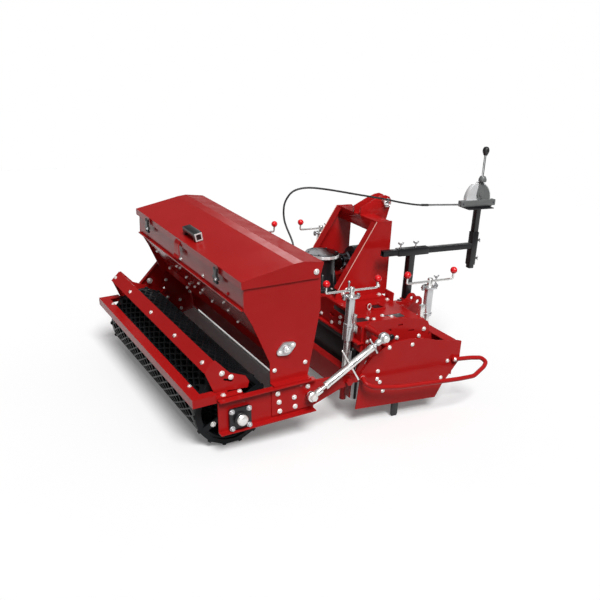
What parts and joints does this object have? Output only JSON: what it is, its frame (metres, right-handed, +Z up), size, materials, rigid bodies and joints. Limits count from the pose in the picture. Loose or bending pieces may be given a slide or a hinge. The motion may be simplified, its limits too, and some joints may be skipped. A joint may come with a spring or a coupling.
{
  "type": "combination seed drill",
  "caption": "Tractor-mounted power harrow with three-point hitch, carrying a lidded seed hopper over a diamond-mesh roller, with crank jacks and a lever console.",
  "frame": {"origin": "middle of the bounding box on the ground", "axes": "+Z up, +Y the direction of travel, towards the tractor, +X the machine's right-hand side"},
  "size_m": [1.5836, 1.9081, 1.267],
  "materials": {
    "console_arm": "satin black paint",
    "console_post": "satin black paint",
    "console_stem": "satin black paint",
    "control_cable": "black sheath",
    "control_lever": "black plastic",
    "feed_bearing": "bright zinc plate",
    "feed_shaft": "bright zinc plate",
    "gear_trough": "gloss red enamel",
    "gearbox": "satin black paint",
    "guard_hoop_left": "gloss red enamel",
    "guard_hoop_right": "gloss red enamel",
    "guide_plate": "galvanised sheet",
    "hitch_lugs_left": "gloss red enamel",
    "hitch_lugs_right": "gloss red enamel",
    "hopper_lid": "gloss red enamel",
    "hopper_side_left": "gloss red enamel",
    "hopper_side_right": "gloss red enamel",
    "hopper_trough": "gloss red enamel",
    "input_shaft": "bright zinc plate",
    "jack_body_front_left": "bright zinc plate",
    "jack_body_front_right": "bright zinc plate",
    "jack_body_rear_left": "bright zinc plate",
    "jack_body_rear_right": "bright zinc plate",
    "jack_crank_front_left": "bright zinc plate",
    "jack_crank_front_right": "bright zinc plate",
    "jack_crank_rear_left": "bright zinc plate",
    "jack_crank_rear_right": "bright zinc plate",
    "levelling_board_front": "gloss red enamel",
    "levelling_board_rear": "gloss red enamel",
    "lever_base": "plated steel and grey casting",
    "lid_handle": "black plastic",
    "lid_latch_left": "satin black paint",
    "lid_latch_right": "satin black paint",
    "link_barrel": "bright zinc plate",
    "link_lower": "bright zinc plate",
    "link_upper": "bright zinc plate",
    "parking_leg_left": "satin black paint",
    "parking_leg_right": "satin black paint",
    "roller_bearing_left": "satin black paint",
    "roller_bearing_right": "satin black paint",
    "roller_cage": "satin black paint",
    "roller_end_left": "satin black paint",
    "roller_end_right": "satin black paint",
    "roller_frame": "gloss red enamel",
    "rotor_1": "satin black paint",
    "rotor_2": "satin black paint",
    "rotor_3": "satin black paint",
    "rotor_4": "satin black paint",
    "rotor_5": "satin black paint",
    "scraper": "gloss red enamel",
    "side_bracket_left": "gloss red enamel",
    "side_bracket_right": "gloss red enamel",
    "side_panel_left": "gloss red enamel",
    "side_panel_right": "gloss red enamel",
    "side_rail_left": "gloss red enamel",
    "side_rail_right": "gloss red enamel",
    "top_link_pin": "bright zinc plate",
    "tower_head": "gloss red enamel",
    "tower_plate_left": "gloss red enamel",
    "tower_plate_right": "gloss red enamel"
  },
  "bodies": {
    "harrow": {"gear_trough": "gear_trough", "gearbox": "gearbox", "tower_head": "tower_head", "top_link_pin": "top_link_pin", "side_bracket_left": "side_bracket_left", "side_bracket_right": "side_bracket_right", "side_panel_left": "side_panel_left", "side_panel_right": "side_panel_right", "guard_hoop_left": "guard_hoop_left", "guard_hoop_right": "guard_hoop_right", "tower_plate_left": "tower_plate_left", "tower_plate_right": "tower_plate_right", "hitch_lugs_left": "hitch_lugs_left", "hitch_lugs_right": "hitch_lugs_right", "jack_body_front_left": "jack_body_front_left", "jack_body_front_right": "jack_body_front_right", "jack_body_rear_left": "jack_body_rear_left", "jack_body_rear_right": "jack_body_rear_right"},
    "seeder": {"hopper_trough": "hopper_trough", "guide_plate": "guide_plate", "feed_bearing": "feed_bearing", "roller_frame": "roller_frame", "scraper": "scraper", "control_cable": "control_cable", "hopper_side_left": "hopper_side_left", "hopper_side_right": "hopper_side_right", "side_rail_left": "side_rail_left", "side_rail_right": "side_rail_right", "roller_bearing_left": "roller_bearing_left", "roller_bearing_right": "roller_bearing_right"},
    "roller": {"roller_cage": "roller_cage", "roller_end_left": "roller_end_left", "roller_end_right": "roller_end_right"},
    "metering_shaft": {"feed_shaft": "feed_shaft"},
    "lid": {"hopper_lid": "hopper_lid", "lid_handle": "lid_handle"},
    "latch_right": {"lid_latch_right": "lid_latch_right"},
    "latch_left": {"lid_latch_left": "lid_latch_left"},
    "input_shaft": {"input_shaft": "input_shaft"},
    "rear_board": {"levelling_board_rear": "levelling_board_rear"},
    "front_board": {"levelling_board_front": "levelling_board_front"},
    "leg_right": {"parking_leg_right": "parking_leg_right"},
    "leg_left": {"parking_leg_left": "parking_leg_left"},
    "post": {"console_post": "console_post"},
    "arm": {"console_arm": "console_arm"},
    "stem": {"console_stem": "console_stem", "lever_base": "lever_base"},
    "lever": {"control_lever": "control_lever"},
    "link_upper": {"link_upper": "link_upper"},
    "link_barrel": {"link_barrel": "link_barrel"},
    "link_lower": {"link_lower": "link_lower"},
    "rotor_1": {"rotor_1": "rotor_1"},
    "rotor_2": {"rotor_2": "rotor_2"},
    "rotor_3": {"rotor_3": "rotor_3"},
    "rotor_4": {"rotor_4": "rotor_4"},
    "rotor_5": {"rotor_5": "rotor_5"},
    "crank_rear_right": {"jack_crank_rear_right": "jack_crank_rear_right"},
    "crank_rear_left": {"jack_crank_rear_left": "jack_crank_rear_left"},
    "crank_front_right": {"jack_crank_front_right": "jack_crank_front_right"},
    "crank_front_left": {"jack_crank_front_left": "jack_crank_front_left"}
  },
  "joints": [
    {"name": "seeder_hinge", "type": "hinge", "parent": "harrow", "child": "seeder", "pos_m": [0, -0.184, 0.262], "axis": [-1, 0, 0], "range_deg": [0, 8]},
    {"name": "link_swing", "type": "hinge", "parent": "harrow", "child": "link_upper", "pos_m": [0.745, -0.033, 0.472], "axis": [-1, 0, 0], "range_deg": [0, 5]},
    {"name": "link_barrel_turn", "type": "hinge", "parent": "link_upper", "child": "link_barrel", "pos_m": [0.745, -0.20499, 0.36045], "axis": [0, -0.839, -0.5441], "range_deg": [-520, 0]},
    {"name": "link_length", "type": "slide", "parent": "link_upper", "child": "link_lower", "axis": [0, -0.839, -0.5441], "range_m": [-0.02, 0]},
    {"name": "roller_spin", "type": "hinge", "parent": "seeder", "child": "roller", "pos_m": [0, -0.73498, 0.18015], "axis": [1, 0, 0], "continuous": true},
    {"name": "metering_spin", "type": "hinge", "parent": "seeder", "child": "metering_shaft", "pos_m": [0, -0.51173, 0.46286], "axis": [1, 0, 0], "continuous": true},
    {"name": "lid_hinge", "type": "hinge", "parent": "seeder", "child": "lid", "pos_m": [0, -0.38644, 0.80733], "axis": [-1, 0, 0], "range_deg": [0, 88]},
    {"name": "latch_right_hinge", "type": "hinge", "parent": "seeder", "child": "latch_right", "pos_m": [0.44, -0.75084, 0.7195], "axis": [1, 0, 0], "range_deg": [0, 95]},
    {"name": "latch_left_hinge", "type": "hinge", "parent": "seeder", "child": "latch_left", "pos_m": [-0.47, -0.75084, 0.7195], "axis": [1, 0, 0], "range_deg": [0, 95]},
    {"name": "rotor_1_spin", "type": "hinge", "parent": "harrow", "child": "rotor_1", "pos_m": [-0.5, 0.126, 0.3], "axis": [0, 0, 1], "continuous": true},
    {"name": "rotor_2_spin", "type": "hinge", "parent": "harrow", "child": "rotor_2", "pos_m": [-0.25, 0.126, 0.3], "axis": [0, 0, 1], "continuous": true},
    {"name": "rotor_3_spin", "type": "hinge", "parent": "harrow", "child": "rotor_3", "pos_m": [0, 0.126, 0.3], "axis": [0, 0, 1], "continuous": true},
    {"name": "rotor_4_spin", "type": "hinge", "parent": "harrow", "child": "rotor_4", "pos_m": [0.25, 0.126, 0.3], "axis": [0, 0, 1], "continuous": true},
    {"name": "rotor_5_spin", "type": "hinge", "parent": "harrow", "child": "rotor_5", "pos_m": [0.5, 0.126, 0.3], "axis": [0, 0, 1], "continuous": true},
    {"name": "input_spin", "type": "hinge", "parent": "harrow", "child": "input_shaft", "pos_m": [0, 0.286, 0.61], "axis": [0, 1, 0], "continuous": true},
    {"name": "crank_rear_right_turn", "type": "hinge", "parent": "harrow", "child": "crank_rear_right", "pos_m": [0.544, -0.0995, 0.6085], "axis": [0, 0, 1], "range_deg": [-1080, 1440]},
    {"name": "crank_rear_left_turn", "type": "hinge", "parent": "harrow", "child": "crank_rear_left", "pos_m": [-0.544, -0.0995, 0.6085], "axis": [0, 0, 1], "range_deg": [-1080, 1440]},
    {"name": "crank_front_right_turn", "type": "hinge", "parent": "harrow", "child": "crank_front_right", "pos_m": [0.544, 0.363, 0.6085], "axis": [0, 0, 1], "range_deg": [-1800, 360]},
    {"name": "crank_front_left_turn", "type": "hinge", "parent": "harrow", "child": "crank_front_left", "pos_m": [-0.544, 0.363, 0.6085], "axis": [0, 0, 1], "range_deg": [-1800, 360]},
    {"name": "rear_board_slide", "type": "slide", "parent": "harrow", "child": "rear_board", "axis": [0, 0, 1], "range_m": [-0.031, 0.041]},
    {"name": "front_board_slide", "type": "slide", "parent": "harrow", "child": "front_board", "axis": [0, 0, 1], "range_m": [-0.051, 0.011]},
    {"name": "parking_leg_right_slide", "type": "slide", "parent": "harrow", "child": "leg_right", "axis": [0, 0, 1], "range_m": [0, 0.12]},
    {"name": "parking_leg_left_slide", "type": "slide", "parent": "harrow", "child": "leg_left", "axis": [0, 0, 1], "range_m": [0, 0.12]},
    {"name": "console_post_slide", "type": "slide", "parent": "harrow", "child": "post", "axis": [0, 0, 1], "range_m": [0, 0.05]},
    {"name": "console_arm_slide", "type": "slide", "parent": "post", "child": "arm", "axis": [0, 1, 0], "range_m": [-0.08, 0.08], "deforming": ["control_cable"]},
    {"name": "console_stem_slide", "type": "slide", "parent": "arm", "child": "stem", "axis": [0, 0, 1], "range_m": [-0.12, 0.1]},
    {"name": "control_lever_hinge", "type": "hinge", "parent": "stem", "child": "lever", "pos_m": [0.2906, 0.841, 1.01], "axis": [1, 0, 0], "range_deg": [-35, 35]}
  ],
  "couplings": [
    {"joint": "link_swing", "follows": "seeder_hinge", "ratio": 0.44},
    {"joint": "link_length", "follows": "seeder_hinge", "m_per_rad": -0.1015},
    {"joint": "link_barrel_turn", "follows": "seeder_hinge", "ratio": -63.8},
    {"joint": "metering_spin", "follows": "roller_spin", "ratio": 1.3125},
    {"joint": "input_spin", "follows": "rotor_3_spin", "ratio": 1.5},
    {"joint": "rotor_1_spin", "follows": "rotor_3_spin", "ratio": 1},
    {"joint": "rotor_2_spin", "follows": "rotor_3_spin", "ratio": -1},
    {"joint": "rotor_4_spin", "follows": "rotor_3_spin", "ratio": -1},
    {"joint": "rotor_5_spin", "follows": "rotor_3_spin", "ratio": 1},
    {"joint": "rear_board_slide", "follows": "crank_rear_right_turn", "m_per_rad": 0.0015915},
    {"joint": "crank_rear_left_turn", "follows": "crank_rear_right_turn", "ratio": 1},
    {"joint": "front_board_slide", "follows": "crank_front_right_turn", "m_per_rad": 0.0015915},
    {"joint": "crank_front_left_turn", "follows": "crank_front_right_turn", "ratio": 1}
  ]
}
